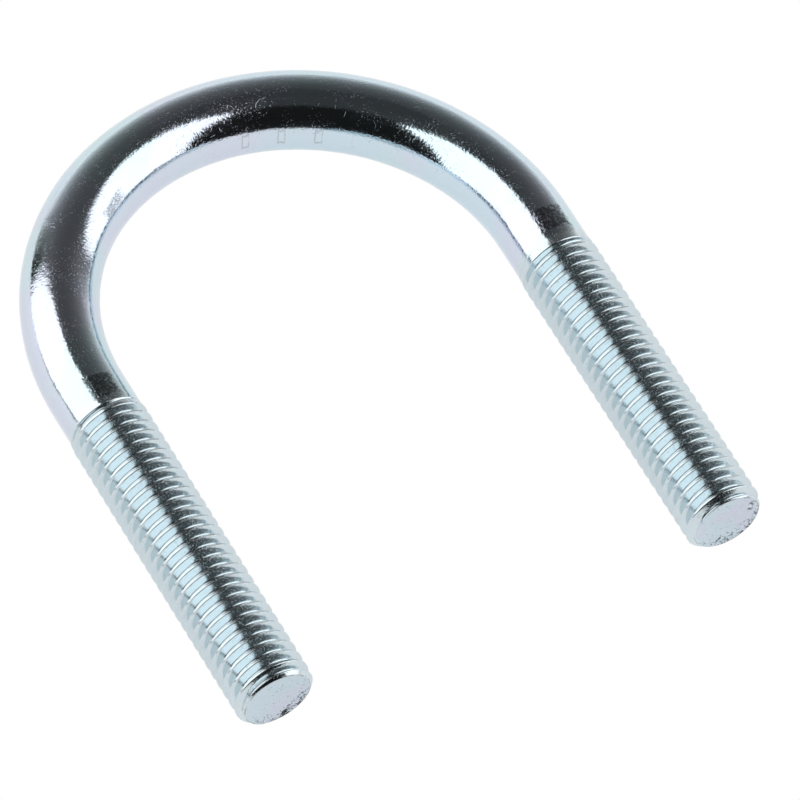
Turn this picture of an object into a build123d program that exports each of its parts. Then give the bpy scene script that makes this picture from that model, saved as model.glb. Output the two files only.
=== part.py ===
"""A round U-bolt: one steel bar bent to a half circle, with a rolled M10 thread on each leg.

The bolt lies flat, with its bow and legs in the XY plane and +Z up. The origin is the centre of the
bow, on the axis of the tube that the bolt clamps, and the legs point along -Y. Sizes are millimetres.

Each thread is drawn as parallel grooves of the true depth, angle and pitch, in place of one helix.
"""

from build123d import *
import os
from math import sqrt

# The bent bar
INSIDE_WIDTH = 50.0  # clear gap between the legs, and the inside diameter of the bow
SHANK_DIAMETER = 9.5  # plain bar, in the bow and down to the threads
LEFT_SHANK = 5.3  # plain and straight, from the end of the bend to the thread, on the -X side
RIGHT_SHANK = 5.9

# The rolled threads: M10 x 1.5 coarse
CREST_DIAMETER = 9.9  # over the crests
PITCH = 1.5
LEFT_THREAD = 42.7  # from the cut tip to the end of the run-out, on the -X side
RIGHT_THREAD = 41.6
RUN_OUT = 2.4  # length over which the grooves climb back to the plain bar
TIP_CHAMFER = 0.7

# The 60 degree thread form, from the height of its sharp triangle
SHARP_HEIGHT = PITCH * sqrt(3) / 2
GROOVE_DEPTH = SHARP_HEIGHT * 17 / 24
CREST_WIDTH = PITCH / 8
CUTTER_STAND_OFF = 0.1  # the groove's section runs on this far past the crests

crest_radius = CREST_DIAMETER / 2
shank_radius = SHANK_DIAMETER / 2
root_radius = crest_radius - GROOVE_DEPTH
bow_radius = INSIDE_WIDTH / 2 + shank_radius


def groove_half_width(radius):
    """Half the width of a thread groove at this radius: each flank leans 30 degrees."""
    return (PITCH - CREST_WIDTH) / 2 + (radius - crest_radius) / sqrt(3)


def groove_heights(leg_length, thread_length):
    """Where the grooves lie above the tip, half a pitch off whole pitches from the end of the bend.

    Counted from there, the crests of both legs stand in the same planes across the bolt.
    """
    heights = [leg_length - (turn + 0.5) * PITCH for turn in range(round(leg_length / PITCH) + 1)]
    return [height for height in heights if 0 < height < thread_length]


def threaded_leg(thread_length, plain_length):
    """One straight leg standing on its cut tip, turned from its half section."""
    leg_length = thread_length + plain_length
    mouth_radius = crest_radius + CUTTER_STAND_OFF
    step = abs(crest_radius - shank_radius)
    with BuildPart() as leg:
        with BuildSketch(Plane.XZ):
            # the thread's outline over its crests, which stand slightly proud of the bar
            Polygon(
                (0, 0),
                (crest_radius - TIP_CHAMFER, 0),
                (crest_radius, TIP_CHAMFER),
                (crest_radius, thread_length - step),
                (shank_radius, thread_length),
                (0, thread_length),
                align=None,
            )
            with Locations(*[(0, height) for height in groove_heights(leg_length, thread_length)]):
                Polygon(
                    (root_radius, -groove_half_width(root_radius)),
                    (mouth_radius, -groove_half_width(mouth_radius)),
                    (mouth_radius, groove_half_width(mouth_radius)),
                    (root_radius, groove_half_width(root_radius)),
                    align=None,
                    mode=Mode.SUBTRACT,
                )
            # the plain shank, on a cone that fills the last grooves as the run-out
            Polygon(
                (0, thread_length - RUN_OUT),
                (root_radius, thread_length - RUN_OUT),
                (shank_radius, thread_length),
                (shank_radius, leg_length),
                (0, leg_length),
                align=None,
            )
        revolve(axis=Axis.Z)
    return leg.part


left_leg = threaded_leg(LEFT_THREAD, LEFT_SHANK)
right_leg = threaded_leg(RIGHT_THREAD, RIGHT_SHANK)
left_tip = Plane(origin=(-bow_radius, -LEFT_THREAD - LEFT_SHANK, 0), x_dir=(1, 0, 0), z_dir=(0, 1, 0))
right_tip = Plane(origin=(bow_radius, -RIGHT_THREAD - RIGHT_SHANK, 0), x_dir=(1, 0, 0), z_dir=(0, 1, 0))

with BuildPart() as u_bolt:
    # the bow: the bar's round section carried round half a circle
    with BuildLine() as centreline:
        CenterArc((0, 0), bow_radius, 180, -180)
    with BuildSketch(Plane(origin=centreline.line @ 0, z_dir=centreline.line % 0)):
        Circle(shank_radius)
    sweep(path=centreline.line)

    # a leg on each end of it, from the cut tip up to the bend
    with Locations(left_tip):
        add(left_leg)
    with Locations(right_tip):
        add(right_leg)

u_bolt.part.label = "u_bolt"

os.makedirs("parts", exist_ok=True)
export_step(u_bolt.part, "parts/u_bolt.step")

size = u_bolt.part.bounding_box().size
print(f"u_bolt: {size.X:.2f} x {size.Y:.2f} x {size.Z:.2f} mm, {u_bolt.part.volume:.0f} mm3")
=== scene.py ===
"""A bright zinc plated M10 U-bolt, lying flat on a white sheet between two softboxes.

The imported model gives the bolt's main sizes. Lengths are worked out in millimetres and the meshes
are written in metres.
"""

import math

import bpy
import numpy as np
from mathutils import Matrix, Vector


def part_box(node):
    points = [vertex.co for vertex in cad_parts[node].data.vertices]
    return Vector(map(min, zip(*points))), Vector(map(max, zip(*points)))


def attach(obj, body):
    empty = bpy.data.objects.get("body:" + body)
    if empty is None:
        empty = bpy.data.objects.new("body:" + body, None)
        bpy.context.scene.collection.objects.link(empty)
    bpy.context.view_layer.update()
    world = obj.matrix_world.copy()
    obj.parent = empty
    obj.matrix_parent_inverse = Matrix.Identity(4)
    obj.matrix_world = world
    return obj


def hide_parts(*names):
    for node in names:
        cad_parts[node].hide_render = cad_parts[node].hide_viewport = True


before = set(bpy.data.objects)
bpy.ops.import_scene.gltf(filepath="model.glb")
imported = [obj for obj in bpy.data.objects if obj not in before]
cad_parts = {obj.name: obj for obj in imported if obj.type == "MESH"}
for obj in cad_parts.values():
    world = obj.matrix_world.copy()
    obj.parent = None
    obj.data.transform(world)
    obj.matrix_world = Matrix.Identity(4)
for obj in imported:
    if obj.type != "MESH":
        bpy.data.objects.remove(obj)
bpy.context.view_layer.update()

# ---------------------------------------------------------------------------------------------------
# The camera: a long lens on a stand, well back from the bolt. It looks down over the tip of the left
# leg, and it is turned a little about its own line of sight.

MM = 0.001
CAMERA_AZIMUTH = math.radians(-34.51)
CAMERA_ELEVATION = math.radians(53.12)
CAMERA_ROLL = math.radians(8.08)
CAMERA_DISTANCE = 1415.7
CAMERA_TARGET = np.array([3.25, -15.99, 0.0])
LENS = 544.2


def camera_axes(azimuth, elevation, roll):
    """Right, up and back of a camera that looks at its target from this azimuth and elevation.

    Back is the direction from the target to the camera, right is level, and both right and up
    are then turned about it by the roll.
    """
    back = np.array(
        [
            math.sin(azimuth) * math.cos(elevation),
            -math.cos(azimuth) * math.cos(elevation),
            math.sin(elevation),
        ]
    )
    right = np.cross(-back, [0.0, 0.0, 1.0])
    right /= np.linalg.norm(right)
    up = np.cross(right, -back)
    turned_right = right * math.cos(roll) + up * math.sin(roll)
    return turned_right, np.cross(back, turned_right), back


camera_data = bpy.data.cameras.new("camera")
camera_data.lens = LENS
camera_data.clip_end = 20.0
camera = bpy.data.objects.new("camera", camera_data)
bpy.context.scene.collection.objects.link(camera)
right, up, back = camera_axes(CAMERA_AZIMUTH, CAMERA_ELEVATION, CAMERA_ROLL)
camera_place = np.eye(4)
camera_place[:3, :3] = np.column_stack([right, up, back])
camera_place[:3, 3] = (CAMERA_TARGET + back * CAMERA_DISTANCE) * MM
camera.matrix_world = camera_place.T.tolist()
bpy.context.scene.camera = camera

# ---------------------------------------------------------------------------------------------------
# The U-bolt: one steel bar, 9.5 mm thick, bent cold round a former to a half circle. Both ends are
# sheared, chamfered and rolled with an M10 x 1.5 thread before the bend, and then the whole bolt is
# zinc plated. It is one closed surface, from the left tip round the bow to the right tip.

low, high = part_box("u_bolt")
node_points = np.array([v.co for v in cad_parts["u_bolt"].data.vertices]) / MM
crest_radius = high.z / MM
bow_radius = high.x / MM - crest_radius
shank_radius = high.y / MM - bow_radius
left_leg = -node_points[node_points[:, 0] < 0][:, 1].min()
right_leg = -node_points[node_points[:, 0] > 0][:, 1].min()
bar_length = left_leg + math.pi * bow_radius + right_leg

PITCH = 1.5
LEFT_THREAD = 43.4  # from the tip to where the last groove dies away
RIGHT_THREAD = 42.7
LEFT_FIRST_CREST = 0.10  # where a crest stands above the tip, on top of the leg
RIGHT_FIRST_CREST = 1.18
LEFT_RUN_OUT = 1.5  # over which the grooves shrink to nothing
RIGHT_RUN_OUT = 2.4
TIP_CHAMFER = 0.7
THREAD_DEPTH = PITCH * math.sqrt(3) / 2 * 17 / 24  # a 60 degree V, cut short at crest and root
HALF_CREST = 0.13  # half the width of a crest's flat
CREST_ROUND = 0.025
ROOT_ROUND = 0.12
CREST_SEAM = 0.026  # depth of the fold that rolling leaves along the crest
SEAM_WIDTH = 0.045
RUN_OUT_ROUND = 0.03
CHAMFER_ROUND = 0.05

ROUND_COUNT = 64  # points round the bar
# where the rows of points lie across one thread, as shares of the pitch from the crest
THREAD_ROWS = [0.0, 0.022, 0.050, 0.072, 0.083, 0.095, 0.12, 0.24, 0.38, 0.43, 0.5]
THREAD_ROWS += [1 - share for share in THREAD_ROWS[-2:0:-1]]
TIP_REACH = 1.8  # over this length of each tip, and over the run-outs, the rows are level
LEVEL_STEP = 0.06  # between those rows
BEND_ROWS = 230
ROW_SNAP = 0.004  # a point this near the end of its zone joins the end's own ring
BEND_THINNING = 0.010  # how much thinner the bar gets in the bend, on average
# each wave of the bend's unevenness: depth, radians to a millimetre, waves round the bar, start
BEND_WAVES = ((0.006, 0.41, 2, 0), (0.002, 0.93, -3, 1))


def soft_least(a, b, width):
    """The lesser of two arrays, blended by a parabola where they are within this width."""
    mix = np.clip(0.5 + 0.5 * (b - a) / width, 0, 1)
    return b * (1 - mix) + a * mix - width * mix * (1 - mix)


def smooth_step(value, start, end):
    """0 before start, 1 after end, and an S-shaped cubic between them."""
    t = np.clip((value - start) / (end - start), 0, 1)
    return t * t * (3 - 2 * t)


def thread_radius(turn):
    """The thread's radius where turn is 0 on a crest and 0.5 in a root.

    The flanks fall at 60 degrees from the flat crest to a rounded root. The crest has a shallow seam,
    whose section is a bell curve.
    """
    across = np.abs(turn - np.round(turn)) * PITCH
    flank = -soft_least(-(across - HALF_CREST) * math.sqrt(3), 0 * across, CREST_ROUND)
    depth = soft_least(flank, np.full_like(flank, THREAD_DEPTH), ROOT_ROUND)
    return crest_radius - depth - CREST_SEAM * np.exp(-((across / SEAM_WIDTH) ** 2))


def leg_radius(from_tip, thread_length, run_out, turn):
    """A leg's radius: the thread between its chamfered tip and its run-out, then the plain bar.

    Over the run-out the grooves rise out of the bar, so they get shallower and narrower, and the
    crests sink to the plain bar between them.
    """
    to_end = thread_length - from_tip
    rise = THREAD_DEPTH * np.clip(1 - to_end / run_out, 0, 1)
    limit = crest_radius + (shank_radius - crest_radius) * smooth_step(-to_end, -run_out, 0)
    radius = soft_least(thread_radius(turn) + rise, limit, RUN_OUT_ROUND)
    radius = np.where(to_end > run_out, thread_radius(turn), radius)
    radius = soft_least(radius, crest_radius - TIP_CHAMFER + from_tip, CHAMFER_ROUND)
    return np.where(to_end > 0, radius, shank_radius)


def bar_centre(along):
    """Centre of the bar and its outward direction, at a distance along it from the left tip.

    Up the left leg, round the bow by the angle (distance past the bend) / (bow radius), then down
    the right leg.
    """
    angle = math.pi - np.clip((along - left_leg) / bow_radius, 0, math.pi)
    outward = np.stack([np.cos(angle), np.sin(angle), 0 * angle], -1)
    below = np.minimum(along - left_leg, 0) + np.minimum(bar_length - right_leg - along, 0)
    centre = outward * bow_radius
    centre[..., 1] += below
    return centre, outward


def bar_radius(along, around):
    """The bar's radius at a distance along it and an angle round it, 90 degrees being the top.

    Both threads are right-handed: a crest moves one pitch along the bar for one turn round it.
    """
    turn_round = (around - math.pi / 2) / (2 * math.pi)
    from_left = along
    from_right = bar_length - along
    left_turn = (from_left - LEFT_FIRST_CREST) / PITCH - turn_round
    right_turn = (from_right - RIGHT_FIRST_CREST) / PITCH + turn_round
    left = leg_radius(from_left, LEFT_THREAD, LEFT_RUN_OUT, left_turn)
    right = leg_radius(from_right, RIGHT_THREAD, RIGHT_RUN_OUT, right_turn)
    radius = np.where(along < bar_length / 2, left, right)
    # bending leaves the bar slightly uneven, so its reflections waver
    in_bend = smooth_step(along, left_leg - 3, left_leg + 6)
    in_bend = in_bend * smooth_step(bar_length - along, right_leg - 3, right_leg + 6)
    waver = sum(
        depth * np.sin(along * per_mm + around * round_bar + start)
        for depth, per_mm, round_bar, start in BEND_WAVES
    )
    return radius + in_bend * (waver - BEND_THINNING)


def row_starts():
    """Where each row of points on the two threads starts along the bar.

    A row climbs one pitch in a turn round the bar, so it runs along a crest, a flank or a root.
    """
    left_turns = np.arange(-2, math.ceil(LEFT_THREAD / PITCH) + 2)
    left_rows = (left_turns[:, None] + np.array(THREAD_ROWS)).ravel() * PITCH + LEFT_FIRST_CREST
    right_turns = np.arange(-math.ceil(RIGHT_THREAD / PITCH) - 2, 3)
    right_rows = (right_turns[:, None] + np.array(THREAD_ROWS)).ravel() * PITCH
    right_rows += bar_length - RIGHT_FIRST_CREST
    return left_rows, right_rows


CAP_RINGS = 16  # rings of points on a cut face
CAP_EDGE = 0.985  # the outermost ring, as a share of the rim's radius
CAP_FLAT = 0.96  # the dish reaches this far out
DISH_DEPTH = 0.04
CHEWED_DEPTH = 0.06
CHIP_DEPTH = 0.5
# where a chip is missing near the rim of each cut face: x and z from the leg's axis, and radius
CHIPS = {-1: (1.45, -3.45, 0.75), 1: (3.35, 1.55, 0.7)}


def cap_height(offset, side):
    """How far a point of the cut face stands proud, which is less than nothing: it is a dish.

    The dish has a flat floor and rises to the rim. Low shear ridges cross it as sine waves, its
    lower rim is chewed by products of sines, and a cone is missing where the chip broke off.
    """
    x, z = offset[:, 0], offset[:, 2]
    reach = np.hypot(x, z) / (crest_radius - TIP_CHAMFER)
    ridges = 0.004 * np.sin(1.3 * x + 0.9 * z + side) + 0.003 * np.sin(2.1 * z - 0.7 * x)
    rough = np.sin(6.1 * x + 2.2 * z + side) * np.sin(5.3 * z - 3.7 * x) + np.sin(11 * x - 7 * z)
    chewed = smooth_step(reach, 0.6, 0.9) * smooth_step(-z + 0.5 * x, 1.0, 2.6)
    chip_x, chip_z, chip_radius = CHIPS[side]
    chip = np.clip(1 - np.hypot(x - chip_x, z - chip_z) / chip_radius, 0, 1)
    sink = DISH_DEPTH + ridges + CHEWED_DEPTH * chewed * np.clip(rough, 0, 1) + CHIP_DEPTH * chip
    return -sink * (1 - smooth_step(reach, CAP_FLAT, 1.0))


def bar_mesh():
    """Vertices and triangles of the whole bar.

    Each thread is a grid of rows that climb with the helix, cut off short of the tip and of the
    run-out. The points of a row that are cut off share the end ring's points, and the triangles
    that this closes up are dropped. One turn further round, a row goes on as the row a pitch higher.
    The tips, the run-outs and the bend between the threads have level rows.
    """
    around = np.arange(ROUND_COUNT) * 2 * math.pi / ROUND_COUNT
    climb = PITCH * (around - math.pi / 2) / (2 * math.pi)
    left_rows, right_rows = row_starts()
    right_start = bar_length - RIGHT_THREAD
    left_end = LEFT_THREAD - LEFT_RUN_OUT
    right_end = right_start + RIGHT_RUN_OUT
    zones = [(left_rows, TIP_REACH, left_end), (right_rows, right_end, bar_length - TIP_REACH)]
    points_along, points_around, triangles = [], [], []
    rings = {}

    def add_points(along, angle):
        first = sum(len(part) for part in points_along)
        points_along.append(along)
        points_around.append(angle)
        return first + np.arange(len(along))

    def ring(position):
        if position not in rings:
            rings[position] = add_points(np.full(ROUND_COUNT, position), around)
        return rings[position]

    def add_grid(ids):
        """Two triangles for each cell of a grid whose last column is the first, a turn on."""
        a, b = ids[:-1, :-1].ravel(), ids[1:, :-1].ravel()
        c, d = ids[1:, 1:].ravel(), ids[:-1, 1:].ravel()
        both = np.concatenate([np.stack([a, d, c], -1), np.stack([a, c, b], -1)])
        keep = (both[:, 0] != both[:, 1]) & (both[:, 1] != both[:, 2]) & (both[:, 2] != both[:, 0])
        triangles.append(both[keep])

    for rows, start, end in zones:
        along = rows[:, None] + climb
        inside = (along > start + ROW_SNAP) & (along < end - ROW_SNAP)
        ids = np.where(along <= start + ROW_SNAP, ring(start), ring(end))
        ids[inside] = add_points(along[inside], np.broadcast_to(around, along.shape)[inside])
        # the closing column is column 0, one pitch of rows further on
        per_turn = len(THREAD_ROWS)
        closing = np.concatenate([ids[per_turn:, 0], np.full(per_turn, ring(end)[0])])
        add_grid(np.column_stack([ids, closing]))

    # level rows: the tips and the run-outs closely, the bend loosely
    spans = [
        (0.0, TIP_REACH, LEVEL_STEP),
        (left_end, LEFT_THREAD, LEVEL_STEP),
        (LEFT_THREAD, right_start, (right_start - LEFT_THREAD) / BEND_ROWS),
        (right_start, right_end, LEVEL_STEP),
        (bar_length - TIP_REACH, bar_length, LEVEL_STEP),
    ]
    for start, end, step in spans:
        between = np.linspace(start, end, round((end - start) / step) + 1)[1:-1]
        inner = [add_points(np.full(ROUND_COUNT, position), around) for position in between]
        ids = np.array([ring(start), *inner, ring(end)])
        add_grid(np.column_stack([ids, ids[:, 0]]))

    along = np.concatenate(points_along)
    angle = np.concatenate(points_around)
    centre, outward = bar_centre(along)
    radius = bar_radius(along, angle)[:, None]
    spoke = outward * np.cos(angle)[:, None] + np.array([0, 0, 1.0]) * np.sin(angle)[:, None]
    points = centre + spoke * radius

    # each cut face: rings that shrink to a centre point, a little dished and uneven
    for start, leg, side in ((0.0, left_leg, -1), (bar_length, right_leg, 1)):
        rim = ring(start)
        shares = [CAP_EDGE, *np.linspace(CAP_FLAT, 0, CAP_RINGS)[:-1]]
        grid = [rim]
        middle = np.array([side * bow_radius, -leg, 0.0])
        for share in shares:
            ring_points = middle + (points[rim] - middle) * share
            ring_points[:, 1] -= cap_height(ring_points - middle, side)
            grid.append(len(points) + np.arange(ROUND_COUNT))
            points = np.concatenate([points, ring_points])
        tip = middle.copy()
        tip[1] -= cap_height(np.zeros((1, 3)), side)[0]
        points = np.concatenate([points, [tip]])
        grid.append(np.full(ROUND_COUNT, len(points) - 1))
        ids = np.array(grid)
        if side < 0:
            ids = ids[::-1]
        add_grid(np.column_stack([ids, ids[:, 0]]))
    return points, np.concatenate(triangles)


def make_piece(name, points, triangles):
    """A smooth shaded mesh object at the origin, from points in millimetres and triangles."""
    mesh = bpy.data.meshes.new(name)
    mesh.from_pydata((points * MM).tolist(), [], triangles.tolist())
    mesh.validate()
    mesh.shade_smooth()
    piece = bpy.data.objects.new(name, mesh)
    bpy.context.scene.collection.objects.link(piece)
    return piece


bolt = make_piece("zinc_u_bolt", *bar_mesh())

# The plating: bright zinc, nearly a mirror, with a faint bloom of blue, lilac and green in its clear
# passivation. Drawing, bending, rolling and handling have each left their marks in it. The colours are
# linear, and all places on the bolt are in millimetres.

PLATE_BLUE = (0.665, 0.797, 0.880, 1)
PLATE_LILAC = (0.712, 0.760, 0.870, 1)
PLATE_GREEN = (0.650, 0.812, 0.850, 1)
THREAD_BLUE = (0.680, 0.775, 0.815, 1)
FACE_BLUE = (0.625, 0.735, 0.810, 1)
FACE_LILAC = (0.670, 0.705, 0.815, 1)
CLAMPED_GREY = (0.05, 0.06, 0.06, 1)
STAMPED_GREY = (0.25, 0.28, 0.22, 1)
SCUFFED_GREY = (0.06, 0.07, 0.07, 1)
PITTED_GREY = (0.08, 0.09, 0.10, 1)
RIM_BROWN = (0.24, 0.22, 0.20, 1)


class Value:
    """A socket of a node tree, so that shader maths reads as sums."""

    def __init__(self, graph, socket):
        self.graph = graph
        self.socket = socket

    def math(self, operation, *others):
        return self.graph.node("ShaderNodeMath", {"operation": operation}, [self, *others])

    def __add__(self, other):
        return self.math("ADD", other)

    __radd__ = __add__

    def __mul__(self, other):
        return self.math("MULTIPLY", other)

    __rmul__ = __mul__

    def __sub__(self, other):
        return self.math("SUBTRACT", other)

    def __rsub__(self, other):
        return self * -1 + other

    def __truediv__(self, other):
        return self.math("DIVIDE", other)

    def __pow__(self, other):
        return self.math("POWER", other)

    def step(self, start, end):
        """0 below start, 1 above end and an S-shaped curve between, or the reverse."""
        settings = {"interpolation_type": "SMOOTHSTEP"}
        limits = {"From Min": start, "From Max": end, "To Min": 0.0, "To Max": 1.0}
        if start > end:
            limits = {"From Min": end, "From Max": start, "To Min": 1.0, "To Max": 0.0}
        return self.graph.node("ShaderNodeMapRange", settings, {"Value": self, **limits})


class Graph:
    """A node tree emptied for use. Its one method makes a node from a type, settings and inputs."""

    def __init__(self, owner):
        owner.use_nodes = True
        self.tree = owner.node_tree
        self.tree.nodes.clear()

    def node(self, kind, settings=None, inputs=None, output=0):
        made = self.tree.nodes.new(kind)
        for key, value in (settings or {}).items():
            setattr(made, key, value)
        pairs = enumerate(inputs) if isinstance(inputs, list) else (inputs or {}).items()
        for key, value in pairs:
            if isinstance(value, Value):
                self.tree.links.new(value.socket, made.inputs[key])
            else:
                made.inputs[key].default_value = value
        return Value(self, made.outputs[output]) if made.outputs else None


def noise(place, scale, detail=2.0, rough=0.5):
    """Noise from 0 to 1, about 0.5 on average, with this many lumps to a millimetre."""
    inputs = {"Vector": place, "Scale": scale, "Detail": detail, "Roughness": rough}
    return place.graph.node("ShaderNodeTexNoise", None, inputs)


def blend(share, first, second):
    """The first colour where share is 0, the second where it is 1, and a mix between them."""
    inputs = {0: share, 6: first, 7: second}
    return share.graph.node("ShaderNodeMix", {"data_type": "RGBA"}, inputs, 2)


def line(value, start, end):
    """1 where a value is close to 0 on either side, fading from end to start."""
    return value.math("ABSOLUTE").step(start, end)


def bloom(place, x, thread, cut_face):
    """The plate's own tint: broad clouds of blue, lilac and green, and a plainer blue on the thread.

    The left of the bow has more of the lilac, and so has the right cut face.
    """
    lilac = (noise(place, 0.055, 1.0) - x * 0.006).step(0.40, 0.60)
    tint = blend(lilac, PLATE_BLUE, PLATE_LILAC)
    green = noise(place, 0.09, 1.0).step(0.50, 0.66)
    tint = blend(green * 0.8, tint, PLATE_GREEN)
    tint = blend(thread, tint, THREAD_BLUE)
    lilac = (noise(place, 0.24, 1.0) + x * 0.003).step(0.46, 0.70)
    return blend(cut_face, tint, blend(lilac, FACE_BLUE, FACE_LILAC))


CLAMP_SHIFT = 0.5  # the clamp held both legs, this far to the right of the bolt's middle
CLAMP_SIDE = 29.9
CLAMP_Y = -2.4
CLAMP_HALF_WIDTH = 1.9
CLAMP_HALF_LENGTH = 1.8


def clamp_patches(x, y, z, ragged):
    """1 where the bending clamp bit, on top of each leg just above its thread.

    A patch is a rectangle: the larger of two distances from its middle, each as a share of its half
    side, is under 1. Its edge is ragged.
    """
    sideways = ((x - CLAMP_SHIFT).math("ABSOLUTE") - CLAMP_SIDE).math("ABSOLUTE") / CLAMP_HALF_WIDTH
    lengthways = (y - CLAMP_Y).math("ABSOLUTE") / CLAMP_HALF_LENGTH
    edge = sideways.math("MAXIMUM", lengthways) + ragged
    return edge.step(1.02, 0.80) * z.step(2.4, 3.2)


STAMP_ANGLE = 50.5  # of one stamp, in degrees round the bow from the right leg
STAMP_SPACING = 10.1
DEGREE_LENGTH = 0.437  # millimetres to a degree, inside the bow
STAMP_Z = 0.8
STAMP_HALF_WIDTH = 0.40
STAMP_HALF_HEIGHT = 0.90


def former_stamps(place, z, across, angle):
    """1 on the outlines of small upright boxes that the former pressed inside the bow.

    The boxes repeat by the fraction of the angle over their spacing. The outline is where the
    larger of two distances from a box's middle, as shares of its half sides, is about 1.
    """
    sideways = ((angle - STAMP_ANGLE) / STAMP_SPACING + 0.5).math("FRACT") - 0.5
    sideways = sideways.math("ABSOLUTE") * STAMP_SPACING * DEGREE_LENGTH / STAMP_HALF_WIDTH
    upwards = (z - STAMP_Z).math("ABSOLUTE") / STAMP_HALF_HEIGHT
    box = sideways.math("MAXIMUM", upwards) + (noise(place, 2.5, 3.0) - 0.5) * 0.6
    inside_bow = across.step(26.6, 26.2) * angle.step(49.0, 58.0) * angle.step(92.0, 82.0)
    return line(box - 1, 0.26, 0.08) * inside_bow * noise(place, 0.7, 2.0).step(0.20, 0.50)


SCUFF_ANGLE = 126.0
SCUFF_HALF_ANGLE = 5.0
SCUFF_ACROSS = 26.45
SCUFF_HALF_WIDTH = 0.5


def scuffed_strip(place, z, across, angle, ragged):
    """1 on a speckled strip inside the left of the bow, a rectangle with a ragged edge."""
    lengthways = ((angle - SCUFF_ANGLE) / SCUFF_HALF_ANGLE).math("ABSOLUTE")
    sideways = ((across - SCUFF_ACROSS) / SCUFF_HALF_WIDTH).math("ABSOLUTE")
    edge = lengthways.math("MAXIMUM", sideways) + ragged * 1.6
    return edge.step(1.1, 0.5) * z.step(0.0, 1.0) * noise(place, 8.0, 2.0, 0.7).step(0.40, 0.60)


def scratches(place):
    """1 on fine scratches, which run where either of two slow noises crosses its middle value."""
    first = line(noise(place, 0.10, 1.5) - 0.5, 0.0030, 0.0010)
    second = line(noise(place, 0.23, 1.0) - 0.47, 0.0045, 0.0015)
    return first.math("MAXIMUM", second) * noise(place, 1.3, 2.0).step(0.52, 0.62)


# dark patches on the cut faces, at the chips and beside them: x, z and half width
DARK_PATCHES = [(32.95, 1.15, 0.65), (-28.30, -3.45, 0.60), (-26.50, -0.55, 0.30)]


def pits(place, x, z, off_axis, radial, cut_face):
    """1 on the cut faces' pits, which crowd towards the lower rim, and on their dark patches.

    A pit is where noise is high. A patch is a ragged ellipse, two thirds as high as it is wide.
    """
    low_rim = (radial - z * 0.8 + off_axis * 0.5).step(3.0, 7.4)
    pit = (noise(place, 2.6, 3.0, 0.7) + low_rim * 0.13).step(0.645, 0.70) * cut_face
    for patch_x, patch_z, half_width in DARK_PATCHES:
        off_x, off_z = x - patch_x, (z - patch_z) * 1.5
        reach = (off_x * off_x + off_z * off_z) ** 0.5 / half_width + noise(place, 2.0, 2.0) - 0.5
        pit = pit.math("MAXIMUM", reach.step(1.0, 0.6) * cut_face)
    return pit


RIM_RADIUS = crest_radius - TIP_CHAMFER - 0.01
RIM_FADE = (0.25, 0.15)  # above the right tip, so that the line stays on the cut face


def rim_line(place, y, radial):
    """1 along the brown line, broken here and there, where each cut face meets its chamfer."""
    at_tip = (y + right_leg).step(*RIM_FADE)
    return line(radial - RIM_RADIUS, 0.11, 0.03) * at_tip * noise(place, 0.9, 3.0, 0.7).step(0.42, 0.56)


THREAD_FADE = (-3.9, -5.2)  # y, between which the bar's look gives way to the thread's
TIP_FADE = (1.2, 0.5)  # above the right tip


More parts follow.
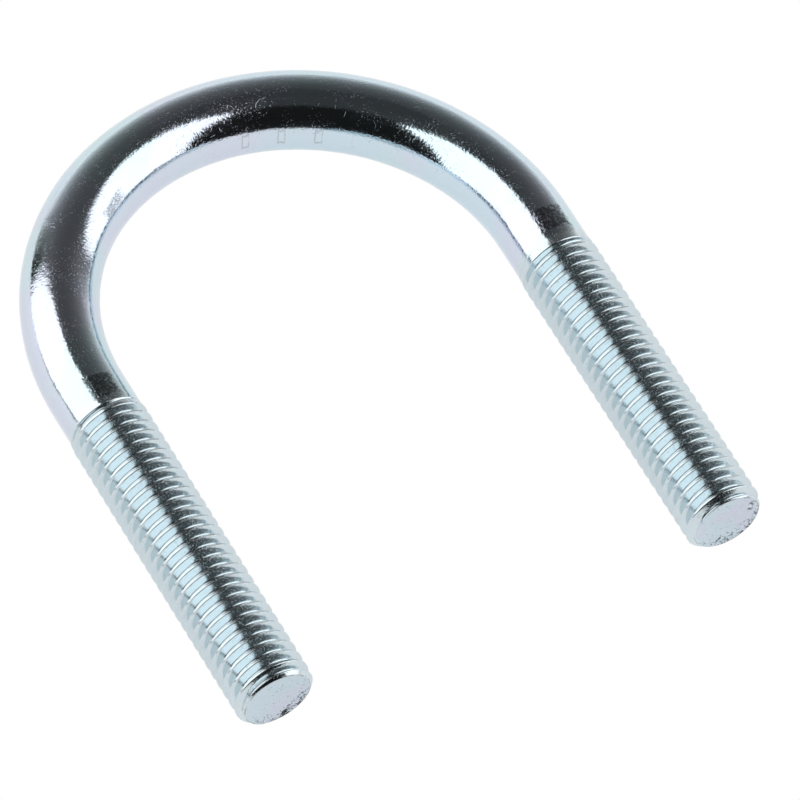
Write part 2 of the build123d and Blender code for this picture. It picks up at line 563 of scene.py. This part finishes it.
def zinc_plate():
    """The plated surface: masks of its zones and marks, then its tint, relief and roughness."""
    material = bpy.data.materials.new("zinc_plate")
    graph = Graph(material)
    place = graph.node("ShaderNodeTexCoord", None, None, 3)
    place = graph.node("ShaderNodeVectorMath", {"operation": "SCALE"}, {"Vector": place, "Scale": 1 / MM})
    x, y, z = (graph.node("ShaderNodeSeparateXYZ", None, [place], i) for i in range(3))
    normal = graph.node("ShaderNodeTexCoord", None, None, 1)
    facing_down = graph.node("ShaderNodeSeparateXYZ", None, [normal], 1) * -1

    # how far along and across the bar a place is
    angle = y.math("ARCTAN2", x) * (180 / math.pi)
    across = (x * x + y.math("MAXIMUM", 0.0) ** 2) ** 0.5
    off_axis = x - x.math("SIGN") * bow_radius
    radial = (off_axis * off_axis + z * z) ** 0.5

    thread = y.step(*THREAD_FADE)
    tip = (y + right_leg).step(*TIP_FADE)
    cut_face = facing_down.step(0.90, 0.97) * tip
    ragged = noise(place, 1.2, 4.0, 0.75) * 0.9 - 0.45
    clamp = clamp_patches(x, y, z, ragged)
    stamp = former_stamps(place, z, across, angle)
    scuff = scuffed_strip(place, z, across, angle, ragged)
    pit = pits(place, x, z, off_axis, radial, cut_face)
    rim = rim_line(place, y, radial)
    scratch = scratches(place) * (1 - thread)

    # fine lines along the bar, from drawing it through the die, and specks in patches
    lines = graph.node("ShaderNodeCombineXYZ", None, [across * 1.8, z * 1.8, angle * 0.05])
    drawn = noise(lines, 1.0, 3.0, 0.6) * (1 - thread)
    sparse = noise(place, 0.30, 4.0, 0.7).step(0.36, 0.58).math("MAXIMUM", thread * 0.7)
    speck = noise(place, 5.0, 3.0, 0.7).step(0.60, 0.68) * sparse

    mottle = noise(place, 2.6, 3.0, 0.7).step(0.70, 0.45)
    tint = bloom(place, x, thread, cut_face)
    tint = blend(clamp * mottle * 0.75, tint, CLAMPED_GREY)
    tint = blend(stamp * 0.40, tint, STAMPED_GREY)
    tint = blend(scuff * 0.7, tint, SCUFFED_GREY)
    tint = blend(pit * 0.75, tint, PITTED_GREY)
    tint = blend(rim * 0.6, tint, RIM_BROWN)

    # relief in micrometres: slow waves, a finer unevenness, a grain, then the marks
    height = noise(place, 0.33, 1.0) * 22 * (1 - thread)
    height = height + noise(place, 1.1, 1.0) * (9 - thread * 4) + drawn * 7
    grain = 12 + clamp * 25 + cut_face * 12 + tip * 8 - thread * 7
    height = height + noise(place, 3.4, 1.0) * grain
    height = height - speck * (4 + thread * 3) - scratch * 4 - pit * 30 - scuff * 8
    bump = graph.node("ShaderNodeBump", None, {"Strength": 1.0, "Distance": 1e-6, "Height": height})

    rough = noise(place, 0.8, 3.0) * 0.08 + noise(place, 0.12, 1.0) * 0.05 + 0.04
    rough = rough + thread * 0.045 + clamp * 0.06 + speck * 0.25 + scuff * 0.3
    rough = rough + drawn.step(0.50, 0.75) * 0.08 + scratch * 0.25 + pit * 0.3 + cut_face * 0.08

    inputs = {"Base Color": tint, "Metallic": 1.0, "Roughness": rough, "Normal": bump}
    surface = graph.node("ShaderNodeBsdfPrincipled", None, inputs)
    graph.node("ShaderNodeOutputMaterial", None, [surface])
    return material


bolt.data.materials.append(zinc_plate())
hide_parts("u_bolt")
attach(bolt, "root")

# ---------------------------------------------------------------------------------------------------
# The studio: a small white sheet of paper under the bolt, a large softbox on either side, and a dark
# room with one pale wall. The sheet is overexposed, so the camera sees no edge and no shadow on it.

SHEET_REACH = 0.12  # from its middle to each side, in metres, as are all sizes below
SHEET_GAP = 0.00001  # between it and the bolt
SHEET_GLOW = 0.635
SHEET_WHITE = (0.45, 0.45, 0.45, 1)
SOFTBOX_DISTANCE = 0.6
SOFTBOX_FOOT = -0.007  # height of a softbox's lower edge
SOFTBOX_RADIANCE = 1.44
WALL_TOWARDS = (0.57, 0.82)  # x and y of the level direction of the wall's middle
WALL_EDGES = (0.55, 0.80)  # how far towards it a direction points, where the wall starts and is full
WALL_FOOT = (-0.16, -0.13)  # z of a direction, where the wall starts and is full
WALL_FADE = 3.9
WALL_GREYS = (0.022, 0.86)  # what is left of the wall high up, and what is added low down
CEILING_EDGES = (0.86, 0.93)
CEILING_GREY = 0.030
ROOM_GREY = 0.009


def white_sheet():
    """The sheet: the camera itself sees it burnt out to plain white, with no shadow on it."""
    mesh = bpy.data.meshes.new("floor")
    corners = np.array([(-1, -1, 0), (1, -1, 0), (1, 1, 0), (-1, 1, 0)]) * SHEET_REACH
    corners = (corners + CAMERA_TARGET * MM + (0, 0, low.z - SHEET_GAP)).tolist()
    mesh.from_pydata(corners, [], [(0, 1, 2, 3)])
    floor = bpy.data.objects.new("floor", mesh)
    bpy.context.scene.collection.objects.link(floor)
    material = bpy.data.materials.new("white_sheet")
    graph = Graph(material)
    inputs = {
        "Base Color": SHEET_WHITE,
        "Roughness": 0.8,
        "Emission Color": (1, 1, 1, 1),
        "Emission Strength": SHEET_GLOW,
    }
    sheet = graph.node("ShaderNodeBsdfPrincipled", None, inputs)
    burnt_out = graph.node("ShaderNodeEmission", None, {"Strength": 1.0})
    seen = graph.node("ShaderNodeLightPath", None, None, 0)
    surface = graph.node("ShaderNodeMixShader", None, [seen, sheet, burnt_out])
    graph.node("ShaderNodeOutputMaterial", None, [surface])
    mesh.materials.append(material)
    return floor


def softbox(name, azimuth, lean, turn, width, height):
    """A rectangular light that leans back from the bolt by one angle and is turned in its own plane.

    Its foot stands at the azimuth, in degrees from x. Its power is pi times its radiance times its
    area.
    """
    data = bpy.data.lights.new(name, "AREA")
    data.shape = "RECTANGLE"
    data.size = width
    data.size_y = height
    data.energy = SOFTBOX_RADIANCE * math.pi * width * height
    light = bpy.data.objects.new(name, data)
    light.visible_camera = False
    bpy.context.scene.collection.objects.link(light)
    a, e, r = math.radians(azimuth), math.radians(lean), math.radians(turn)
    back = np.array([math.cos(a) * math.cos(e), math.sin(a) * math.cos(e), math.sin(e)])
    right = np.array([-math.sin(a), math.cos(a), 0.0])
    up = np.cross(back, right)
    foot = np.array([math.cos(a) * SOFTBOX_DISTANCE, math.sin(a) * SOFTBOX_DISTANCE, SOFTBOX_FOOT])
    place = np.eye(4)
    place[:3, 3] = foot + up * height / 2
    right = right * math.cos(r) + up * math.sin(r)
    place[:3, :3] = np.column_stack([right, np.cross(back, right), back])
    light.matrix_world = place.T.tolist()


def dark_room():
    """The world: a nearly black room, a pale wall behind the bow and a dim ceiling.

    The wall fades upwards as a falling exponential of the direction's z, and it ends a little below
    the sheet. The camera itself sees plain white, so that the room doesn't show behind the bolt.
    """
    world = bpy.data.worlds.new("room")
    graph = Graph(world)
    direction = graph.node("ShaderNodeTexCoord", None, None, 0)
    x, y, z = (graph.node("ShaderNodeSeparateXYZ", None, [direction], i) for i in range(3))
    level = (1.0 - z * z + 0.0001) ** 0.5  # never 0, as it divides
    behind = (x * WALL_TOWARDS[0] + y * WALL_TOWARDS[1]) / level
    left, added = WALL_GREYS
    fade = z.math("MAXIMUM", -0.02) * -WALL_FADE
    wall = fade.math("EXPONENT") * added + left
    wall = wall * z.step(*WALL_FOOT) * behind.step(*WALL_EDGES)
    ceiling = z.step(*CEILING_EDGES)
    room = wall * (1 - ceiling) + ceiling * CEILING_GREY + ROOM_GREY
    seen = graph.node("ShaderNodeLightPath", None, None, 0)
    strength = room * (1 - seen) + seen
    surface = graph.node("ShaderNodeBackground", None, {"Color": (1, 1, 1, 1), "Strength": strength})
    graph.node("ShaderNodeOutputWorld", None, [surface])
    bpy.context.scene.world = world


white_sheet()
softbox("softbox_right", azimuth=-25.9, lean=14.6, turn=-2.5, width=0.658, height=0.849)
softbox("softbox_left", azimuth=150.0, lean=23.7, turn=5.9, width=0.763, height=0.762)
dark_room()
bpy.context.scene.view_settings.view_transform = "Standard"
